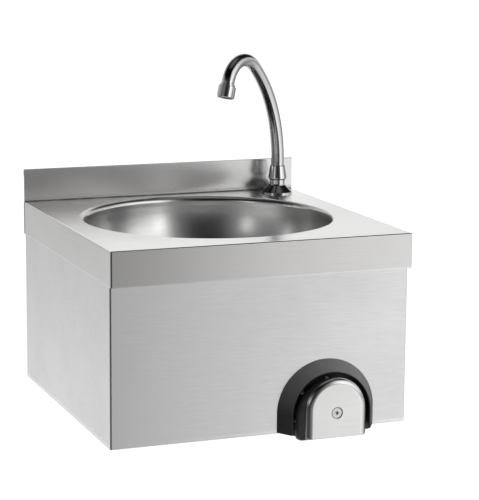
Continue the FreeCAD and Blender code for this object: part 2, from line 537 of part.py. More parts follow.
# ports are round stubs: the outlet points up, the inlet points left
pad(b, sketch(b, "outlet_stub", "XZ_Plane", circles=[(0, -d.port_y, d.port_rad)]), 21)
pad(b, sketch(b, "inlet_stub", "YZ_Plane", circles=[(0, -334, d.port_rad)], at=(0, 0, -26)), 26)
groove(b, sketch(b, "valve_inside", "XZ_Plane", [([
    (0, vf - 1), (d.rod_bore, vf - 1), (d.rod_bore, -383), (6.6, -383), (6.6, -379.5), (d.rod_bore, -379.5), (d.rod_bore, -376), (ch, -376),
    (ch, be + 1), (0, be + 1)], {})]))
pocket(b, sketch(b, "outlet_bore", "XZ_Plane", circles=[(0, -d.port_y, d.pipe_rad + 0.05)], at=(0, 0, 22)), 19)
pocket(b, sketch(b, "inlet_bore", "YZ_Plane", circles=[(0, -334, 5.0)], at=(0, 0, -27)), 20, True)
place(b, **knee)
node(turned("valve_gasket", ring(11.4, 17.0, -390, -388), None, **knee))
node(turned("valve_washer", ring(11.2, 17.0, -394, -d.floor_y), None, **knee))
b = node(body("valve_nut"))
pad(b, sketch(b, "valve_hex", "XY_Plane", [hexagon(27)], [(0, 0, vn + 0.05)], at=(0, 0, -399)), 5)
place(b, **knee)
node(turned("rod_seal", ring(d.rod_bore, 6.55, -382.8, -379.7), None, **knee))
node(turned("valve_seat", [(4.5, -352), (ch - 0.05, -352), (ch - 0.05, -d.seat_y), (5.4, -d.seat_y), (4.5, -d.seat_y - 0.8)], None, **knee))
b = node(body("valve_cap"))
pad(b, sketch(b, "cap_hex", "XY_Plane", [hexagon(25)], at=(0, 0, be)), 8)
pad(b, sketch(b, "cap_thread", "XY_Plane", circles=[(0, 0, ch - 0.05)], at=(0, 0, be)), 8, True)
place(b, **knee)

# ---------------------------------------------------------------- knee pad and what moves with it
pz, pr = -d.pad_arch_z, d.pad_rad
pan_y = d.pad_y - d.pad_pan
b = node(body("pad_plate"))
pad(b, sketch(b, "plate_outline", "XZ_Plane", [arch(kx, pz, pr, -d.pad_low)], at=(0, 0, pan_y)), d.pad_pan)
pocket(b, sketch(b, "plate_inside", "XZ_Plane", [arch(kx, pz, pr - d.pan_thk, d.pan_thk - d.pad_low)], at=(0, 0, pan_y)), d.pad_pan - d.pan_thk, True)
blend(b, d.pan_edge, lambda e: flat(e, "Y", -d.pad_y) and not flat(e, "Z", -d.pad_low))
blend(b, d.pan_edge - d.pan_thk, lambda e: flat(e, "Y", d.pan_thk - d.pad_y) and not flat(e, "Z", d.pan_thk - d.pad_low))
pocket(b, sketch(b, "plate_hole", "XZ_Plane", circles=[(kx, kz, 6.8)], at=(0, 0, d.pad_y)), 2)

b = node(body("pad_body"))
steps = [(d.body_a_y, d.body_a_z, d.body_a_rad, d.body_a_low, d.body_a_cnr), (d.body_b_y, d.body_b_z, d.body_b_rad, d.body_b_low, d.body_b_cnr),
         (d.body_c_y, d.body_c_z, d.body_c_rad, d.body_c_low, d.body_c_cnr), (d.body_d_y, d.body_d_z, d.body_d_rad, d.body_d_low, d.body_d_cnr)]
loft(b, "AdditiveLoft", *[sketch(b, "body_step_%d" % i, "XZ_Plane", [soft_arch(kx, -z, r, -low, c)], at=(0, 0, y))
                          for i, (y, z, r, low, c) in enumerate(steps)])
pad(b, sketch(b, "body_plug", "XZ_Plane", [arch(kx, pz, pr - d.pan_thk - 3.4, 4.6 - d.pad_low)], at=(0, 0, d.body_a_y - 1)), 5.0)
loft(b, "SubtractiveLoft",
     sketch(b, "hollow_front", "XZ_Plane", [arch(kx, -d.body_a_z, d.body_a_rad - 3.2, 3.0 - d.body_a_low)], at=(0, 0, d.body_a_y - 2.0)),
     sketch(b, "hollow_back", "XZ_Plane", [arch(kx, -d.body_d_z, d.body_d_rad - 2.4, 2.6 - d.body_d_low)], at=(0, 0, d.body_d_y)))
pad(b, sketch(b, "hub", "XZ_Plane", circles=[(kx, kz, 8.5)], at=(0, 0, 414)), 6.5)
for name, box in (("rib_across", rect(kx - 39, kz - 1.2, kx + 39, kz + 1.2)), ("rib_upright", rect(kx - 1.2, -108.5, kx + 1.2, -37.5))):
    pad(b, sketch(b, name, "XZ_Plane", [box], at=(0, 0, 415)), 5.5)
groove(b, sketch(b, "screw_way", "XY_Plane", [([
    (0, -d.pad_y), (6.9, -d.pad_y), (6.9, 0.9 - d.pad_y), (3.3, 4.6 - d.pad_y), (3.3, -418.4), (4.05, -418.4), (4.05, -413), (0, -413)], {})],
                 at=(kx, 0, kz)))

node(turned("pad_screw", [
    (0, -406), (3.0, -406), (3.0, -423.2), (6.55, 0.05 - d.pad_y), (2.3, 0.05 - d.pad_y), (2.3, -424.2), (0, -423.4)], None, **knee))
node(turned("push_rod", [
    (0, -404), (3.05, -404), (3.05, -418.3), (d.rod_rad, -418.3), (d.rod_rad, -354), (2.5, -353), (2.5, -341), (0, -341)], None, **knee))
node(turned("poppet_seal", ring(2.55, 7.5, 0.2 - d.seat_y, 1.7 - d.seat_y), None, **knee))
node(turned("valve_poppet", [
    (2.55, 1.7 - d.seat_y), (8.2, 1.7 - d.seat_y), (8.2, 4.2 - d.seat_y), (4.6, 4.2 - d.seat_y), (4.6, 8 - d.seat_y), (2.55, 8 - d.seat_y)], None, **knee))

# return spring between the poppet and the cap
coil = doc.addObject("Part::Helix", "spring_line")
bind(coil, "Radius", 6.2)
bind(coil, "Pitch", 4.2)
bind(coil, "Height", 22.6)
wire = doc.addObject("Part::Circle", "spring_wire")
bind(wire, "Radius", 0.55)
wire.Placement = FreeCAD.Placement(Vec(6.2, 0, 0), FreeCAD.Rotation(Vec(1, 0, 0), 90 + math.degrees(math.atan2(4.2, 2 * math.pi * 6.2))))
doc.recompute()
spring = node(doc.addObject("Part::Sweep", "return_spring"))
spring.Label = "return_spring"
spring.Sections = [wire]
spring.Spine = (coil, ["Edge1"])
spring.Solid = True
spring.Frenet = True
doc.recompute()
place(spring, kx, -d.seat_y + 5.2, kz, TO_WALL)

# ---------------------------------------------------------------- feed pipe, in the upright plane of its two ends
dx, dy = d.tap_x.v - kx.v, -d.tap_y.v + d.port_y.v
run = math.hypot(dx, dy)
bend, hz = d.pipe_bend.v, -d.pipe_z.v
z_in, z_out = -62.0, d.deck_z.v - d.shank_len.v + 6.0
b = node(body("feed_pipe"))
path = b.newObject("Sketcher::SketchObject", "pipe_line")
path.AttachmentSupport = [(plane(b, "XZ_Plane"), "")]
path.MapMode = "FlatFace"
c45 = math.sqrt(0.5)
path.addGeometry(Part.LineSegment(Vec(0, z_in, 0), Vec(0, hz - bend, 0)))
path.addGeometry(Part.Arc(Vec(0, hz - bend, 0), Vec(bend - bend * c45, hz - bend + bend * c45, 0), Vec(bend, hz, 0)))
path.addGeometry(Part.LineSegment(Vec(bend, hz, 0), Vec(run - bend, hz, 0)))
path.addGeometry(Part.Arc(Vec(run - bend, hz, 0), Vec(run - bend + bend * c45, hz + bend - bend * c45, 0), Vec(run, hz + bend, 0)))
path.addGeometry(Part.LineSegment(Vec(run, hz + bend, 0), Vec(run, z_out, 0)))
for g in range(5):
    for end in (1, 2):
        p = path.getPoint(g, end)
        for kind, number in (("DistanceX", p.x), ("DistanceY", p.y)):
            if g % 2 == 0:
                path.addConstraint(Sketcher.Constraint(kind, -1, 1, g, end, number))
for g in (1, 3):
    for end in (1, 2):
        p = path.getPoint(g, end)
        for other in (g - 1, g + 1):
            for oend in (1, 2):
                if path.getPoint(other, oend).distanceToPoint(p) < 1e-6:
                    path.addConstraint(Sketcher.Constraint("Coincident", g, end, other, oend))
    k = path.addConstraint(Sketcher.Constraint("Radius", g, bend))
    bind(path, "Constraints[%d]" % k, d.pipe_bend)
doc.recompute()
section = sketch(b, "pipe_section", "XY_Plane", circles=[(0, 0, d.pipe_rad), (0, 0, d.pipe_bore)], at=(0, 0, z_in))
pipe = b.newObject("PartDesign::AdditivePipe", "pipe_sweep")
pipe.Profile = section
pipe.Spine = (path, [])
pipe.Mode = "Frenet"
doc.recompute()
b.Placement = FreeCAD.Placement(Vec(kx.v, -d.port_y.v, 0), FreeCAD.Rotation(Vec(0, 0, 1), math.degrees(math.atan2(dy, dx))))
line = (hz - bend - z_in) + math.pi * bend + (run - 2 * bend) + (z_out - hz - bend)
area = math.pi * (d.pipe_rad.v ** 2 - d.pipe_bore.v ** 2)
print("feed pipe: volume %.0f, section times length %.0f" % (volume(b), area * line))


def gland_nut(label, flats, thread, x, y, z, down):
    """Compression nut: its mouth at height 0, its lip at height 14."""
    n = body(label)
    pad(n, sketch(n, label + "_hex", "XY_Plane", [hexagon(flats)]), 14)
    pocket(n, sketch(n, label + "_thread", "XY_Plane", circles=[(0, 0, thread)]), 12, True)
    pocket(n, sketch(n, label + "_lip", "XY_Plane", circles=[(0, 0, d.pipe_rad + 0.1)], at=(0, 0, 15)), 4)
    place(n, x, y, z, FreeCAD.Rotation(Vec(1, 0, 0), 180 if down else 0))
    return n


stub_top = -d.knee_z + 21
shank_end = d.deck_z - d.shank_len
node(group("feed_pipe_nuts", [
    gland_nut("valve_pipe_nut", 20, d.port_rad + 0.05, kx, -d.port_y, stub_top - 6.2, False),
    gland_nut("tap_pipe_nut", 24, sr + 0.05, d.tap_x, -d.tap_y, shank_end + 9, True)]))
olive = lambda r: [(5.02, 0), (r - 1.5, 0), (r, 1.0), (r - 1.2, 2.8), (5.02, 2.8)]
node(group("feed_pipe_olives", [
    turned("valve_olive", olive(7.6), None, kx, -d.port_y, stub_top + 0.1),
    turned("tap_olive", olive(9.4), None, d.tap_x, -d.tap_y, shank_end - 2.9)]))

# ---------------------------------------------------------------- premixer
mx, my = d.mix_x, -d.mix_y
b = node(body("mixer_body"))
pad(b, sketch(b, "mixer_block", "XY_Plane", [rect(mx - 24, my - 13, mx + 24, my + 13)], at=(0, 0, -d.mix_low)), d.mix_low - d.mix_top)
blend(b, 4, lambda e: near(e.Length, d.mix_low - d.mix_top) and near(e.BoundBox.ZLength, d.mix_low - d.mix_top))
pad(b, sketch(b, "mixer_outlet", "YZ_Plane", circles=[(-334, kz, d.port_rad)], at=(0, 0, mx + 22)), 12)
pad(b, sketch(b, "mixer_inlets", "XZ_Plane", circles=[(mx - d.inlet_dx, -d.inlet_z, d.port_rad), (mx + d.inlet_dx, -d.inlet_z, d.port_rad)],
              at=(0, 0, d.inlet_end)), d.mix_y - d.inlet_end - 10)
pocket(b, sketch(b, "inlet_bores", "XZ_Plane", circles=[(mx - d.inlet_dx, -d.inlet_z, 6.05), (mx + d.inlet_dx, -d.inlet_z, 6.05)],
                 at=(0, 0, d.inlet_end - 1)), d.mix_y - d.inlet_end + 1, True)
pocket(b, sketch(b, "outlet_bore", "YZ_Plane", circles=[(-334, kz, 5.0)], at=(0, 0, mx + 35)), 34)
pocket(b, sketch(b, "spindle_bore", "XY_Plane", circles=[(mx, my, 7.05)], at=(0, 0, -d.mix_low - 1)), 29, True)
node(turned("mixer_bonnet", [
    (4.06, -92), (10, -92), (10, -88), (7.0, -88), (7.0, -84), (4.06, -84)], None, mx, my, 0))
b = node(turned("mixer_spindle", [
    (2.05, -101.8), (4.0, -101.8), (4.0, -83.8), (7.0, -83.8), (7.0, -60.5), (0, -60.5), (0, -93), (2.05, -93)], None, mx, my, 0))
pocket(b, sketch(b, "mixing_slot", "XZ_Plane", [rect(-4.5, -74, 4.5, -63)], at=(0, 0, 8)), 10)
b = node(turned("mixer_knob", [
    (4.02, -102.0), (3.7, -102.0), (3.7, -104.2), (d.knob_rad - 1.2, -104.2), (d.knob_rad, -103.0), (d.knob_rad - 0.6, -93.4), (d.knob_rad - 1.6, -92.4),
    (4.02, -92.4)], None, mx, my, 0))
flute = pocket(b, sketch(b, "grip_flute", "XY_Plane", circles=[(d.knob_rad + 1.3, 0, 2.0)], at=(0, 0, -91)), 15)
pattern = b.newObject("PartDesign::PolarPattern", "grip_flutes")
pattern.Originals = [flute]
pattern.Axis = (plane(b, "Z_Axis"), [""])
pattern.Angle = 360
pattern.Occurrences = 14
b.Tip = pattern
doc.recompute()
node(turned("knob_screw", [
    (0, -103.9), (3.2, -103.9), (3.5, -103.4), (3.5, -102.0), (2.0, -102.0), (2.0, -94), (0, -94)], None, mx, my, 0))
ux = kx - 26
node(turned("union_washer", ring(5.2, 8.2, 0, ux - (mx + 34)), None, mx + 34, -334, kz, FreeCAD.Rotation(Vec(0, 1, 0), 90)))
b = node(body("union_nut"))
pad(b, sketch(b, "union_hex", "XY_Plane", [hexagon(22)], [(0, 0, d.port_rad + 0.05)]), 15)
place(b, mx + 27.5, -334, kz, FreeCAD.Rotation(Vec(0, 1, 0), 90))
node(group("check_valves", [turned("check_valve_%d" % (i + 1), [
    (3.4, -320), (6.0, -320), (6.0, -303), (4.8, -303), (4.8, -317), (3.4, -317)],
    None, mx + s * d.inlet_dx, 0, -d.inlet_z, TO_WALL) for i, s in enumerate((-1, 1))]))

# ---------------------------------------------------------------- checks and export
doc.recompute()
bad = [o.Label for o in doc.Objects if "Invalid" in o.State or "Error" in o.State]
if bad:
    raise SystemExit("failed objects: " + ", ".join(bad))
for o in nodes:
    s = o.Shape
    if s.isNull() or not s.isValid() or not s.Solids:
        raise SystemExit("bad shape: " + o.Label)
for o in nodes:
    s = o.Shape
    s.exportStep("parts/%s.step" % o.Label)
    bb = s.BoundBox
    print("%-22s solids %d  volume %10.1f  x %.1f..%.1f  y %.1f..%.1f  z %.1f..%.1f" % (
        o.Label, len(s.Solids), s.Volume, bb.XMin, bb.XMax, bb.YMin, bb.YMax, bb.ZMin, bb.ZMax))
print(len(nodes), "nodes")
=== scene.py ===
"""Looks of the hand wash sink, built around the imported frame. Metres, in the row frame."""
import json
import math

import bmesh
import bpy
from mathutils import Matrix, Vector


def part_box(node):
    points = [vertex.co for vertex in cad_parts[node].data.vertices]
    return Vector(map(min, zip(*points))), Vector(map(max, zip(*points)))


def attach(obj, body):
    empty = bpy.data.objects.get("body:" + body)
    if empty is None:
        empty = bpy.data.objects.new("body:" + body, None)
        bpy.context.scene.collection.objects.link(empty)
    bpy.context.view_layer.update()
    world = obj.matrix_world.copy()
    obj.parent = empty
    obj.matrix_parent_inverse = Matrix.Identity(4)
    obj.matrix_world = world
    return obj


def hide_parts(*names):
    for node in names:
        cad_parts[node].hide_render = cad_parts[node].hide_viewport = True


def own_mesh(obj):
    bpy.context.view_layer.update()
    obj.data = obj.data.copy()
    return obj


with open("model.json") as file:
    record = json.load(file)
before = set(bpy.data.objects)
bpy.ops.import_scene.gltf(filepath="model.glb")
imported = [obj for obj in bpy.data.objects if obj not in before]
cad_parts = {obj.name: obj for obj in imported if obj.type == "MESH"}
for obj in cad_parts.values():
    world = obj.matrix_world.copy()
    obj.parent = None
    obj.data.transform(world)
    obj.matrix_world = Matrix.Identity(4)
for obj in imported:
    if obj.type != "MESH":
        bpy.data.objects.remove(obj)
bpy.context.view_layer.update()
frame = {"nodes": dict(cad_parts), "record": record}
NODES = frame["nodes"]
scene = bpy.context.scene


# ---------------------------------------------------------------- camera

def make_camera():
    """Camera of the picture: focal length 1896.64 px in a frame 500 px high, placed in the row frame."""
    yaw, pitch, roll = (math.radians(a) for a in (21.321, 10.541, 0.462))
    fwd = Vector((math.sin(yaw) * math.cos(pitch), math.cos(yaw) * math.cos(pitch), -math.sin(pitch)))
    right = Vector((math.cos(yaw), -math.sin(yaw), 0))
    up = right.cross(fwd)
    r2 = math.cos(roll) * right + math.sin(roll) * up
    u2 = -math.sin(roll) * right + math.cos(roll) * up
    data = bpy.data.cameras.new("view")
    data.sensor_width = 36.0
    data.lens = 1896.64 / 500 * 36.0
    data.clip_start, data.clip_end = 0.05, 200
    cam = bpy.data.objects.new("view", data)
    turn = Matrix((r2, u2, -fwd)).transposed()
    cam.matrix_world = Matrix.Translation((-0.8638, -2.5228, 0.5563)) @ turn.to_4x4()
    scene.collection.objects.link(cam)
    scene.camera = cam


# ---------------------------------------------------------------- node helpers

class Shade:
    """A small wrapper that makes shader nodes and links them."""

    def __init__(self, tree):
        self.tree = tree
        self.tree.nodes.clear()

    def node(self, kind, props=None, **inputs):
        n = self.tree.nodes.new(kind)
        for k, v in (props or {}).items():
            setattr(n, k, v)
        for k, v in inputs.items():
            self.put(n, k, v)
        return n

    def put(self, n, key, value):
        name = key.replace("_", " ") if isinstance(key, str) else key
        sock = n.inputs[int(name[1:])] if isinstance(name, str) and name[0] == "i" and name[1:].isdigit() else n.inputs[name]
        if isinstance(value, bpy.types.NodeSocket):
            self.tree.links.new(value, sock)
        elif isinstance(value, bpy.types.Node):
            self.tree.links.new(value.outputs[0], sock)
        else:
            sock.default_value = value

    def math(self, op, a, b=None, c=None, clamp=False):
        n = self.node("ShaderNodeMath", {"operation": op, "use_clamp": clamp}, i0=a)
        if b is not None:
            self.put(n, "i1", b)
        if c is not None:
            self.put(n, "i2", c)
        return n.outputs[0]

    def step(self, v, lo, hi, to_lo=0.0, to_hi=1.0, kind="SMOOTHSTEP"):
        n = self.node("ShaderNodeMapRange", {"interpolation_type": kind}, i0=v, i1=lo, i2=hi, i3=to_lo, i4=to_hi)
        return n.outputs[0]

    def mix(self, fac, a, b):
        n = self.node("ShaderNodeMix", {"data_type": "RGBA"})
        self.put(n, "i0", fac)
        self.put(n, "i6", a)
        self.put(n, "i7", b)
        return n.outputs[2]

    def mixf(self, fac, a, b):
        n = self.node("ShaderNodeMix", {"data_type": "FLOAT"}, i0=fac, i2=a, i3=b)
        return n.outputs[0]

    def combine(self, x, y, z):
        return self.node("ShaderNodeCombineXYZ", i0=x, i1=y, i2=z).outputs[0]

    def split(self, v):
        return self.node("ShaderNodeSeparateXYZ", i0=v).outputs

    def noise(self, vec, scale, detail=2.0, rough=0.5, dist=0.0):
        n = self.node("ShaderNodeTexNoise", {"noise_dimensions": "3D"}, Vector=vec, Scale=scale, Detail=detail, Roughness=rough, Distortion=dist)
        return n.outputs[0]

    def voronoi(self, vec, scale):
        return self.node("ShaderNodeTexVoronoi", {"feature": "F1"}, Vector=vec, Scale=scale).outputs[0]

    def ramp(self, fac, stops, kind="LINEAR"):
        n = self.node("ShaderNodeValToRGB", i0=fac)
        r = n.color_ramp
        r.interpolation = kind
        while len(r.elements) > 1:
            r.elements.remove(r.elements[-1])
        for k, (p, c) in enumerate(stops):
            e = r.elements[0] if k == 0 else r.elements.new(p)
            e.position = p
            e.color = (c, c, c, 1) if isinstance(c, (int, float)) else (*c, 1)
        return n.outputs[0]

    def bump(self, height, strength, distance, normal=None):
        n = self.node("ShaderNodeBump", Strength=strength, Distance=distance, Height=height)
        if normal is not None:
            self.put(n, "Normal", normal)
        return n.outputs[0]


MATS = {}


def material(name):
    m = bpy.data.materials.new(name)
    m.use_nodes = True
    MATS[name] = m
    s = Shade(m.node_tree)
    s.out = s.node("ShaderNodeOutputMaterial")
    s.bsdf = s.node("ShaderNodeBsdfPrincipled")
    s.put(s.out, "Surface", s.bsdf)
    s.coord = s.node("ShaderNodeTexCoord")
    s.pos = s.coord.outputs["Object"]
    s.nrm = s.coord.outputs["Normal"]
    return s


def finish_metal(s, base, rough, normal=None, specular=0.5, aniso=0.0):
    s.put(s.bsdf, "Base Color", base)
    s.put(s.bsdf, "Metallic", 1.0)
    s.put(s.bsdf, "Roughness", rough)
    if aniso:
        s.put(s.bsdf, "Anisotropic", aniso)
    if normal is not None:
        s.put(s.bsdf, "Normal", normal)


# ---------------------------------------------------------------- steel

def edge_polish(s, box, radius=0.0022):
    """0 to 1 near the outer edges of a box (lo, hi): where two of the three coordinates are close to the box's faces."""
    x, y, z = s.split(s.pos)
    lo, hi = box
    near = []
    for c, a, b in ((x, lo[0], hi[0]), (y, lo[1], hi[1]), (z, lo[2], hi[2])):
        d1 = s.math("ABSOLUTE", s.math("SUBTRACT", c, a))
        d2 = s.math("ABSOLUTE", s.math("SUBTRACT", c, b))
        near.append(s.step(s.math("MINIMUM", d1, d2), radius * 0.3, radius, 1.0, 0.0))
    xy = s.math("MULTIPLY", near[0], near[1])
    yz = s.math("MULTIPLY", near[1], near[2])
    xz = s.math("MULTIPLY", near[0], near[2])
    return s.math("MAXIMUM", s.math("MAXIMUM", xy, yz), xz)


def brushed(name, tint=(0.66, 0.657, 0.652), rough=0.30, spread=0.05, grain=1.0, edges=None, upright=False, aniso=0.35, corner=None,
            short=1.0):
    """Satin steel sheet with a fine grain. The grain runs along X on faces that look up or forward and along Y on the sides,
    or upright on all standing faces. A larger short gives shorter grains."""
    s = material(name)
    x, y, z = s.split(s.pos)
    nx, ny, nz = s.split(s.nrm)
    side = s.step(s.math("ABSOLUTE", nx), 0.55, 0.75)

    def along(long, fine, off):
        long = long * short
        if upright:
            a = s.combine(s.math("MULTIPLY", x, fine), s.math("MULTIPLY", y, fine), s.math("MULTIPLY_ADD", z, long, off))
            return a
        a = s.combine(s.math("MULTIPLY_ADD", x, long, off), s.math("MULTIPLY", y, fine), s.math("MULTIPLY", z, fine))
        b = s.combine(s.math("MULTIPLY", x, fine), s.math("MULTIPLY_ADD", y, long, off), s.math("MULTIPLY", z, fine))
        m = s.node("ShaderNodeMix", {"data_type": "VECTOR"})
        s.put(m, "i0", side)
        s.put(m, "i4", a)
        s.put(m, "i5", b)
        return m.outputs[1]

    hair = s.noise(along(14, 2600, 0.0), 1.0, 3.0, 0.65)
    line = s.noise(along(7, 760, 3.1), 1.0, 3.0, 0.6)
    band = s.noise(along(2.2, 95, 7.7), 1.0, 2.0, 0.5)
    cloud = s.noise(s.pos, 9.0, 3.0, 0.55)
    smudge = s.noise(s.pos, 34.0, 4.0, 0.6, 0.8)
    scratch = s.step(s.noise(along(24, 1500, 13.0), 1.0, 1.0, 0.4), 0.735, 0.80)
    g = s.math("ADD", s.math("MULTIPLY", hair, 0.72), s.math("MULTIPLY", line, 0.25))
    g = s.math("ADD", g, s.math("MULTIPLY", band, 0.03))
    dark = tuple(c * (1 - 0.075 * grain) for c in tint)
    pale = tuple(min(1, c * (1 + 0.065 * grain)) for c in tint)
    base = s.ramp(g, ((0.30, dark), (0.50, tint), (0.70, pale)))
    warm = tuple(c * k for c, k in zip(tint, (1.012, 1.0, 0.985)))
    base = s.mix(s.step(cloud, 0.40, 0.72, 0.0, 0.35), base, (*warm, 1))
    base = s.mix(s.math("MULTIPLY", scratch, 0.05), base, (0.86, 0.86, 0.85, 1))
    r = s.step(g, 0.28, 0.72, rough + spread, rough - spread, "LINEAR")
    r = s.math("ADD", r, s.step(cloud, 0.35, 0.70, -0.018, 0.022, "LINEAR"))
    r = s.math("ADD", r, s.step(smudge, 0.56, 0.74, 0.0, 0.018))
    if corner:
        # painted shade: a darker line at the upstand's foot, where shade falls in the corner and where the picture
        # shows one; the mask named stain here is painted shade, not a stain
        stain = s.math("MULTIPLY", s.step(y, corner[0] - 0.0035, corner[0]), s.step(z, corner[1] + 0.0004, corner[1] + 0.0024, 1.0, 0.0))
        stain = s.math("MULTIPLY", stain, s.step(s.noise(s.pos, 60.0, 3.0, 0.6), 0.30, 0.60, 0.75, 1.0))
        base = s.mix(stain, base, (0.16, 0.155, 0.15, 1))
        # painted shade fitted to the picture, which the light alone doesn't give: the front apron is painted darker
        # towards its left end
        front = s.math("MULTIPLY", s.step(y, -0.3992, -0.3985, 1.0, 0.0), s.step(x, -0.24, 0.08, 0.62, 0.0))
        base = s.mix(front, base, (0.34, 0.335, 0.325, 1))
        # painted light fitted to the picture too: the upstand is painted brighter than the deck, rising to the right
        above = s.math("MULTIPLY", s.step(z, corner[1] + 0.003, corner[1] + 0.007), s.step(x, -0.20, 0.16, 0.08, 0.90))
        base = s.mix(above, base, (0.86, 0.857, 0.852, 1))
        # the same painted shade mask also makes the line at the foot duller
        r = s.math("ADD", r, s.math("MULTIPLY", stain, 0.12))
    if edges:
        wear = s.math("MULTIPLY", edge_polish(s, edges), s.step(s.noise(s.pos, 160.0, 3.0, 0.6), 0.33, 0.60, 0.45, 1.0))
        base = s.mix(s.math("MULTIPLY", wear, 0.30), base, (0.80, 0.795, 0.785, 1))
        r = s.math("SUBTRACT", r, s.math("MULTIPLY", wear, 0.06))
    r = s.math("MINIMUM", s.math("MAXIMUM", r, 0.12), 0.6)
    n = s.bump(g, 0.16 * grain, 0.00008)
    n = s.bump(s.noise(s.pos, 5.5, 1.0, 0.4), 0.12, 0.0012, n)
    finish_metal(s, base, r, n, aniso=aniso)
    return s


def turned_steel(name, centre, tint, rough, spread=0.05, aniso=0.25, lines=1.0):
    """Drawn and polished steel with its fine lines running round an upright axis."""
    s = material(name)
    x, y, z = s.split(s.pos)
    dx, dy = s.math("SUBTRACT", x, centre[0]), s.math("SUBTRACT", y, centre[1])
    rad = s.math("SQRT", s.math("ADD", s.math("MULTIPLY", dx, dx), s.math("MULTIPLY", dy, dy)))
    # round the axis the direction itself is the coordinate, so that there is no seam
    ux, uy = s.math("DIVIDE", dx, s.math("MAXIMUM", rad, 0.001)), s.math("DIVIDE", dy, s.math("MAXIMUM", rad, 0.001))

    def around(turn, fine, off):
        q = s.math("ADD", s.math("MULTIPLY", rad, fine), s.math("MULTIPLY", z, fine))
        return s.combine(s.math("MULTIPLY_ADD", ux, turn, off), s.math("MULTIPLY", uy, turn), q)

    hair = s.noise(around(5.0, 2200, 0.0), 1.0, 3.0, 0.62)
    line = s.noise(around(2.5, 620, 4.0), 1.0, 2.0, 0.55)
    band = s.noise(around(1.2, 70, 9.0), 1.0, 2.0, 0.5)
    cloud = s.noise(s.pos, 16.0, 3.0, 0.55)
    drops = s.step(s.noise(s.pos, 210.0, 2.0, 0.5), 0.66, 0.74)
    g = s.math("ADD", s.math("MULTIPLY", hair, 0.40 * lines), s.math("MULTIPLY", line, 0.36))
    g = s.math("ADD", g, s.math("MULTIPLY", band, 1 - 0.36 - 0.40 * lines))
    base = s.ramp(g, ((0.30, tuple(c * 0.955 for c in tint)), (0.5, tint), (0.70, tuple(min(1, c * 1.04) for c in tint))))
    r = s.step(g, 0.28, 0.72, rough + spread, rough - spread, "LINEAR")
    r = s.math("ADD", r, s.step(cloud, 0.35, 0.70, -0.012, 0.018, "LINEAR"))
    r = s.math("ADD", r, s.math("MULTIPLY", drops, 0.02))
    n = s.bump(g, 0.05, 0.00005)
    n = s.bump(s.noise(s.pos, 14.0, 1.0, 0.4), 0.07, 0.0008, n)
    finish_metal(s, base, r, n, aniso=aniso)
    return s


def chrome(name, tint=(0.64, 0.645, 0.65), rough=0.045):
    """Polished plating: nearly a mirror, with faint polish marks, a slight orange peel and dry water marks. What looks
    up is
    painted darker: a painted reflection of the dark overhead, fitted to the dark bands that the tap has in the picture."""
    s = material(name)
    cloud = s.noise(s.pos, 60.0, 3.0, 0.6)
    fine = s.noise(s.pos, 900.0, 2.0, 0.5)
    marks = s.step(s.noise(s.pos, 420.0, 2.0, 0.5, 0.4), 0.64, 0.72)
    base = s.ramp(cloud, ((0.25, tuple(c * 0.965 for c in tint)), (0.75, tuple(min(1, c * 1.02) for c in tint))))
    # painted reflection: what looks up is painted nearly black, standing in for the dark overhead that the plating
    # reflects
    painted_dark_top = s.step(s.split(s.nrm)[2], 0.10, 0.70, 0.0, 0.62)
    base = s.mix(painted_dark_top, base, (0.05, 0.05, 0.052, 1))
    r = s.step(cloud, 0.30, 0.75, rough * 0.7, rough * 1.5, "LINEAR")
    r = s.math("ADD", r, s.math("MULTIPLY", marks, 0.05))
    r = s.math("ADD", r, s.step(fine, 0.4, 0.7, 0.0, 0.012))
    n = s.bump(s.noise(s.pos, 150.0, 1.0, 0.4), 0.05, 0.0002)
    n = s.bump(fine, 0.03, 0.00003, n)
    finish_metal(s, base, r, n)
    return s


def machined(name, tint, rough=0.28, stain=(0.30, 0.22, 0.12)):
    """Turned or cast metal of the hidden fittings: cutting marks, stains and a dull oxide."""
    s = material(name)
    x, y, z = s.split(s.pos)
    marks = s.noise(s.combine(s.math("MULTIPLY", x, 700), s.math("MULTIPLY", y, 700), s.math("MULTIPLY", z, 1500)), 1.0, 2.0, 0.5)
    cloud = s.noise(s.pos, 75.0, 4.0, 0.6)
    spots = s.step(s.noise(s.pos, 340.0, 3.0, 0.6), 0.58, 0.74)
    base = s.ramp(marks, ((0.30, tuple(c * 0.88 for c in tint)), (0.70, tuple(min(1, c * 1.06) for c in tint))))
    base = s.mix(s.step(cloud, 0.45, 0.75, 0.0, 0.40), base, (*stain, 1))
    base = s.mix(s.math("MULTIPLY", spots, 0.25), base, (*(c * 0.6 for c in stain), 1))
    r = s.step(cloud, 0.3, 0.75, rough - 0.05, rough + 0.17, "LINEAR")
    n = s.bump(marks, 0.25, 0.00006)
    n = s.bump(cloud, 0.15, 0.0003, n)
    finish_metal(s, base, r, n)
    return s


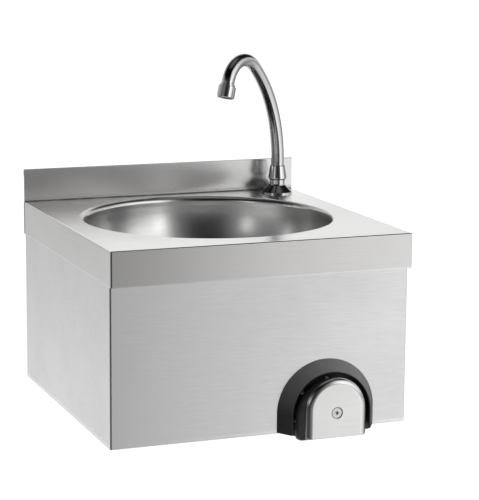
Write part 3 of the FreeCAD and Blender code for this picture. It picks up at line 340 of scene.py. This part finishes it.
def moulded(name, tint, rough=0.42, texture=1.0, specular=0.5, scuff=(0.12, 0.12, 0.12), coat=0.0, painted_top_light=0.0):
    """Moulded plastic: a spark-eroded skin of fine pits, slight flow shading and pale scuffs. With its last argument,
    what looks up
    is painted paler: painted light on the top, as far as the picture shows it."""
    s = material(name)
    pits = s.noise(s.pos, 2400.0, 2.0, 0.6)
    cells = s.voronoi(s.pos, 1500.0)
    cloud = s.noise(s.pos, 30.0, 3.0, 0.55)
    scuffs = s.step(s.noise(s.combine(*(s.math("MULTIPLY", c, k) for c, k in zip(s.split(s.pos), (60, 900, 260)))), 1.0, 2.0, 0.6), 0.68, 0.80)
    base = s.ramp(cloud, ((0.25, tuple(c * 0.82 for c in tint)), (0.75, tuple(min(1, c * 1.15) for c in tint))))
    base = s.mix(s.math("MULTIPLY", scuffs, 0.16), base, (*scuff, 1))
    if painted_top_light:
        # painted light: faces that look up are painted paler, as if lit from above, with a little noise
        up = s.step(s.split(s.nrm)[2], -0.05, 1.0, 0.0, painted_top_light, "LINEAR")
        up = s.math("MULTIPLY", up, s.step(s.noise(s.pos, 95.0, 4.0, 0.6), 0.25, 0.70, 0.86, 1.06, "LINEAR"))
        base = s.mix(up, base, (0.58, 0.58, 0.58, 1))
    r = s.step(cloud, 0.25, 0.75, rough - 0.035, rough + 0.045, "LINEAR")
    r = s.math("ADD", r, s.step(pits, 0.35, 0.70, -0.02, 0.03, "LINEAR"))
    n = s.bump(pits, 0.30 * texture, 0.00006)
    n = s.bump(cells, 0.16 * texture, 0.00007, n)
    s.put(s.bsdf, "Base Color", base)
    s.put(s.bsdf, "Roughness", r)
    s.put(s.bsdf, "Normal", n)
    s.put(s.bsdf, "Specular IOR Level", specular)
    if coat:
        s.put(s.bsdf, "Coat Weight", coat)
        s.put(s.bsdf, "Coat Roughness", 0.12)
    return s


def rubber(name, tint=(0.022, 0.021, 0.020)):
    """Seals: dull rubber with bloom and fine grain."""
    s = material(name)
    grainy = s.noise(s.pos, 1700.0, 3.0, 0.65)
    bloom = s.noise(s.pos, 120.0, 3.0, 0.6)
    base = s.mix(s.step(bloom, 0.48, 0.75, 0.0, 0.45), (*tint, 1), (0.10, 0.10, 0.098, 1))
    r = s.step(grainy, 0.3, 0.7, 0.62, 0.82, "LINEAR")
    s.put(s.bsdf, "Base Color", base)
    s.put(s.bsdf, "Roughness", r)
    s.put(s.bsdf, "Normal", s.bump(grainy, 0.35, 0.00008))
    return s


def make_materials():
    deck = (Vector((-0.200, -0.400, 0.095)), Vector((0.200, 0.0, 0.140)))
    casing = (Vector((-0.1985, -0.391, -0.105)), Vector((0.1985, 0.2, 0.30)))
    brushed("deck_steel", tint=(0.642, 0.637, 0.629), rough=0.235, spread=0.025, grain=0.6, edges=deck, corner=(-0.0035, 0.140))
    turned_steel("bowl_steel", (0, -0.193), (0.66, 0.657, 0.652), 0.235, spread=0.02)
    brushed("casing_steel", tint=(0.668, 0.661, 0.666), rough=0.235, spread=0.025, grain=0.75, edges=casing, short=4.0)
    brushed("bracket_steel", tint=(0.56, 0.556, 0.55), rough=0.36, upright=True)
    brushed("pad_steel", rough=0.19, spread=0.02, grain=0.45, aniso=0.15)
    chrome("chrome")
    turned_steel("fastener_steel", (0.087, -0.2), (0.62, 0.615, 0.605), 0.26, lines=0.6)
    machined("brass", (0.78, 0.60, 0.30), 0.30)
    moulded("black_plastic", (0.022, 0.022, 0.023), 0.40)
    # the collar's top is painted paler: painted light from above
    moulded("collar_plastic", (0.028, 0.028, 0.029), 0.46, specular=0.40, painted_top_light=0.82)
    moulded("pad_plastic", (0.095, 0.095, 0.096), 0.32, texture=0.5, coat=0.30)
    machined("rivet_steel", (0.80, 0.80, 0.79), 0.34, stain=(0.50, 0.49, 0.47))
    moulded("knob_plastic", (0.030, 0.030, 0.032), 0.45)
    moulded("white_plastic", (0.72, 0.71, 0.68), 0.38, scuff=(0.45, 0.43, 0.40))
    moulded("grey_plastic", (0.26, 0.265, 0.27), 0.42, scuff=(0.42, 0.42, 0.42))
    rubber("rubber")


def dress_nodes():
    """Each CAD node keeps its mesh and takes the material of its slot."""
    slots = {p["node"]: p["material_slot"] for p in frame["record"]["subparts"]}
    own = {"knee_collar": "collar_plastic", "pad_body": "pad_plastic", "collar_rivets": "rivet_steel"}
    for n, o in NODES.items():
        mat = MATS[own.get(n, slots[n])]
        if not o.material_slots:
            o.data.materials.append(mat)
        for ms in o.material_slots:
            ms.material = mat


# ---------------------------------------------------------------- face of the knee pad

def arch_loop(half, centre, low, corner, y):
    """One closed loop of the pad's outline: upright sides, a half circle above and small rounded corners below."""
    cx, cz = centre
    pts = []
    for k in range(14):
        pts.append((cx - half, y, low + corner + (cz - low - corner) * k / 14))
    for k in range(96):
        a = math.pi * (1 - k / 96)
        pts.append((cx + half * math.cos(a), y, cz + half * math.sin(a)))
    for k in range(14):
        pts.append((cx + half, y, cz + (low + corner - cz) * k / 14))
    for k in range(8):
        a = -math.pi / 2 * k / 8
        pts.append((cx + half - corner + corner * math.cos(a), y, low + corner + corner * math.sin(a)))
    for k in range(20):
        pts.append((cx + half - corner - 2 * (half - corner) * k / 20, y, low))
    for k in range(8):
        a = -math.pi / 2 - math.pi / 2 * k / 8
        pts.append((cx - half + corner + corner * math.cos(a), y, low + corner + corner * math.sin(a)))
    return pts


def make_pad_face():
    """Pressed steel face of the knee pad: a thin shell whose border rolls back over 8 mm, with a dished hole for the screw."""
    lo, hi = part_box("pad_plate")
    cx, half = (lo[0] + hi[0]) / 2, (hi[0] - lo[0]) / 2
    cz, low, front, depth = hi[2] - half, lo[2], lo[1], hi[1] - lo[1]
    screw = (cx, sum(c[2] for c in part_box("pad_screw")) / 2)
    roll, foot, thick = 0.0080, 0.0013, 0.0010
    outer = arch_loop(half, (cx, cz), low, 0.0024, 0)

    def hole(radius, y):
        """A loop round the screw whose points lie on the lines from the screw to the outline's points."""
        pts = []
        for x, _, z in outer:
            a = math.atan2(z - screw[1], x - screw[0])
            pts.append((screw[0] + radius * math.cos(a), y, screw[1] + radius * math.sin(a)))
        return pts

    loops = [hole(0.0072, front + thick), hole(0.0072, front + 0.0004), hole(0.00728, front + 0.00012), hole(0.0075, front), hole(0.0085, front)]
    for inset in (0.0016, 0.0003):
        loops.append(arch_loop(half - roll - inset, (cx, cz), low + foot + inset, 0.0007, front))
    steps = 18
    for k in range(steps + 1):
        a = math.pi / 2 * k / steps
        t = math.sin(a)
        loops.append(arch_loop(half - roll * (1 - t), (cx, cz), low + foot * (1 - t), 0.0008 + 0.0016 * t, front + depth * (1 - math.cos(a))))
    for k in range(steps, -1, -1):
        a = math.pi / 2 * k / steps
        t = math.sin(a)
        loops.append(arch_loop(half - roll * (1 - t) - thick * t, (cx, cz), low + foot * (1 - t) + thick * t, 0.0008 + 0.0008 * t,
                               front + depth * (1 - math.cos(a)) + thick * math.cos(a)))
    bm = bmesh.new()
    rows = [[bm.verts.new(p) for p in loop] for loop in loops]
    n = len(outer)
    for i in range(len(rows)):
        a, b = rows[i], rows[(i + 1) % len(rows)]
        for k in range(n):
            bm.faces.new((a[k], a[(k + 1) % n], b[(k + 1) % n], b[k]))
    bmesh.ops.recalc_face_normals(bm, faces=bm.faces)
    for f in bm.faces:
        f.smooth = True
    mesh = bpy.data.meshes.new("pad_face")
    bm.to_mesh(mesh)
    bm.free()
    mesh.set_sharp_from_angle(angle=math.radians(38))
    mesh.materials.append(MATS["pad_steel"])
    face = bpy.data.objects.new("pad_face", mesh)
    scene.collection.objects.link(face)
    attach(face, "knee_pad")
    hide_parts("pad_plate")


# ---------------------------------------------------------------- return spring

def make_spring():
    """The coil of the return spring, copied from its CAD node and held by the basin; the copy keeps its length as the
    knee pad is pushed.
    """
    source = NODES["return_spring"]
    coil = bpy.data.objects.new("spring_coil", source.data.copy())
    scene.collection.objects.link(coil)
    coil.matrix_world = source.matrix_world.copy()
    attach(coil, "basin")
    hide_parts("return_spring")
    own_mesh(coil)


# ---------------------------------------------------------------- studio

# brightness by direction round the object, above and below the horizon, and the height at which the light ends
RING = ((-180, 1.15), (-168, 0.78), (-152, 0.66), (-136, 0.66), (-112, 0.48), (-98, 0.40), (-86, 0.20), (-72, 0.27), (-62, 0.30),
        (-50, 0.27), (-40, 0.12), (-30, 0.04), (-8, 0.03), (3, 0.10), (12, 0.22), (16, 0.31), (20, 0.72), (23, 1.12), (27, 1.38),
        (45, 1.36), (60, 1.30), (75, 1.05), (92, 0.80), (112, 0.78), (130, 0.85), (150, 1.10), (165, 1.18), (180, 1.10))
RING_LOW = ((-180, 0.92), (-172, 0.80), (-160, 0.64), (-150, 0.48), (-138, 0.32), (-120, 0.27), (-105, 0.28), (-92, 0.20),
            (-78, 0.11), (-60, 0.07), (-30, 0.05), (-18, 0.08), (-5, 0.24), (5, 0.28), (13, 0.28), (17, 0.38), (20, 0.76),
            (23, 1.14), (27, 1.40), (35, 1.32), (48, 1.12), (60, 1.00), (75, 0.88), (88, 0.62), (97, 0.38), (108, 0.24),
            (140, 0.24), (152, 0.50), (165, 0.92), (180, 0.92))
TOP = ((-180, 40), (-152, 34), (-130, 20), (-95, 22), (-50, 22), (0, 26), (22, 34), (60, 35), (78, 33), (95, 22), (112, 10), (130, 13),
       (140, 22), (153, 34), (180, 40))
LAMPS = ((-60, 13, 7.5, 1.3), (-110, 9.5, 9.5, 1.7), (28, 10.5, 7.5, 0.85), (-166, -30, 24.0, 0.50))
GAP = ((-180, 0), (-168, 0), (-150, 0.60), (90, 0.60), (115, 0), (180, 0))      # darker just above the horizon


def make_world():
    """A soft studio round the object: a white wall behind, a large window light ahead on the right, dark ahead and overhead.
    What the camera sees directly is plain and pale from every side."""
    world = bpy.data.worlds.new("studio")
    world.use_nodes = True
    scene.world = world
    s = Shade(world.node_tree)
    out = s.node("ShaderNodeOutputWorld")
    way = s.node("ShaderNodeTexCoord").outputs["Generated"]
    x, y, z = s.split(way)
    az = s.math("ARCTAN2", x, s.math("MULTIPLY", y, -1.0))      # 0 is ahead of the front panel, + to the right
    turn = s.math("MULTIPLY_ADD", az, 1 / (2 * math.pi), 0.5)
    el = s.math("MULTIPLY", s.math("ARCSINE", z), 180 / math.pi)

    def at(deg):
        return deg / 360 + 0.5

    ring = s.ramp(turn, [(at(d), v / 1.4) for d, v in RING], "LINEAR")
    ring_low = s.ramp(turn, [(at(d), v / 1.4) for d, v in RING_LOW], "LINEAR")
    ring_low = s.math("MAXIMUM", ring_low, s.step(el, -31.0, -17.0, 0.42, 0.0))      # a pale floor
    ring = s.mixf(s.step(el, -4.0, 4.0), ring_low, ring)
    level = s.step(s.math("ABSOLUTE", el), 1.5, 4.8, 1.0, 0.0)
    gap = s.ramp(turn, [(at(d), v) for d, v in GAP], "LINEAR")
    ring = s.math("MULTIPLY", ring, s.math("SUBTRACT", 1.0, s.math("MULTIPLY", level, gap)))
    top = s.ramp(turn, [(at(d), v / 90) for d, v in TOP], "EASE")
    top = s.math("MULTIPLY", top, 90.0)
    over = s.math("DIVIDE", s.math("SUBTRACT", el, top), 13.0)
    high = s.step(over, 0.0, 1.0, 1.0, 0.035)
    low = s.step(el, -52.0, -20.0, 0.62, 1.0)
    light = s.math("MULTIPLY", s.math("MULTIPLY", s.math("MULTIPLY", ring, 1.4), high), low)
    light = s.math("ADD", light, s.step(el, 58.0, 78.0, 0.0, 0.26))
    for deg, up, radius, value in LAMPS:
        a, e = math.radians(deg), math.radians(up)
        aim = (math.sin(a) * math.cos(e), -math.cos(a) * math.cos(e), math.sin(e))
        dot = s.node("ShaderNodeVectorMath", {"operation": "DOT_PRODUCT"}, i0=way, i1=aim).outputs[1]
        spot = s.step(dot, math.cos(math.radians(radius)), math.cos(math.radians(radius * 0.25)), 0.0, value)
        light = s.math("ADD", light, spot)
    seen = s.node("ShaderNodeLightPath").outputs["Is Camera Ray"]
    light = s.mixf(seen, light, 1.0)
    back = s.node("ShaderNodeBackground", Strength=1.0)
    s.put(back, "Color", s.combine(light, light, light))
    s.put(out, "Surface", back)


def make_floor():
    """Plain pale floor, well below the object, which hangs on a wall."""
    bm = bmesh.new()
    n, rings = 96, (0.0, 4.0, 12.0, 30.0, 90.0)
    centre = bm.verts.new((0, -0.2, -1.0))
    last = None
    for r in rings[1:]:
        ring = [bm.verts.new((r * math.cos(2 * math.pi * k / n), -0.2 + r * math.sin(2 * math.pi * k / n), -1.0)) for k in range(n)]
        for k in range(n):
            if last is None:
                bm.faces.new((centre, ring[k], ring[(k + 1) % n]))
            else:
                bm.faces.new((last[k], ring[k], ring[(k + 1) % n], last[(k + 1) % n]))
        last = ring
    mesh = bpy.data.meshes.new("floor")
    bm.to_mesh(mesh)
    bm.free()
    floor = bpy.data.objects.new("floor", mesh)
    scene.collection.objects.link(floor)
    m = bpy.data.materials.new("floor_paint")
    m.use_nodes = True
    s = Shade(m.node_tree)
    out = s.node("ShaderNodeOutputMaterial")
    paint = s.node("ShaderNodeBsdfPrincipled", Base_Color=(0.60, 0.60, 0.60, 1), Roughness=0.9)
    s.put(paint, "Emission Color", (1, 1, 1, 1))
    s.put(paint, "Emission Strength", 0.90)
    clear = s.node("ShaderNodeBsdfTransparent")
    under = s.node("ShaderNodeNewGeometry").outputs["Backfacing"]
    mix = s.node("ShaderNodeMixShader", i0=under, i1=paint.outputs[0], i2=clear.outputs[0])
    s.put(out, "Surface", mix)
    mesh.materials.append(m)
    floor.visible_glossy = False
    floor.visible_diffuse = False


make_camera()
make_materials()
dress_nodes()
make_pad_face()
make_spring()
make_world()
make_floor()
scene.view_settings.view_transform = "Standard"
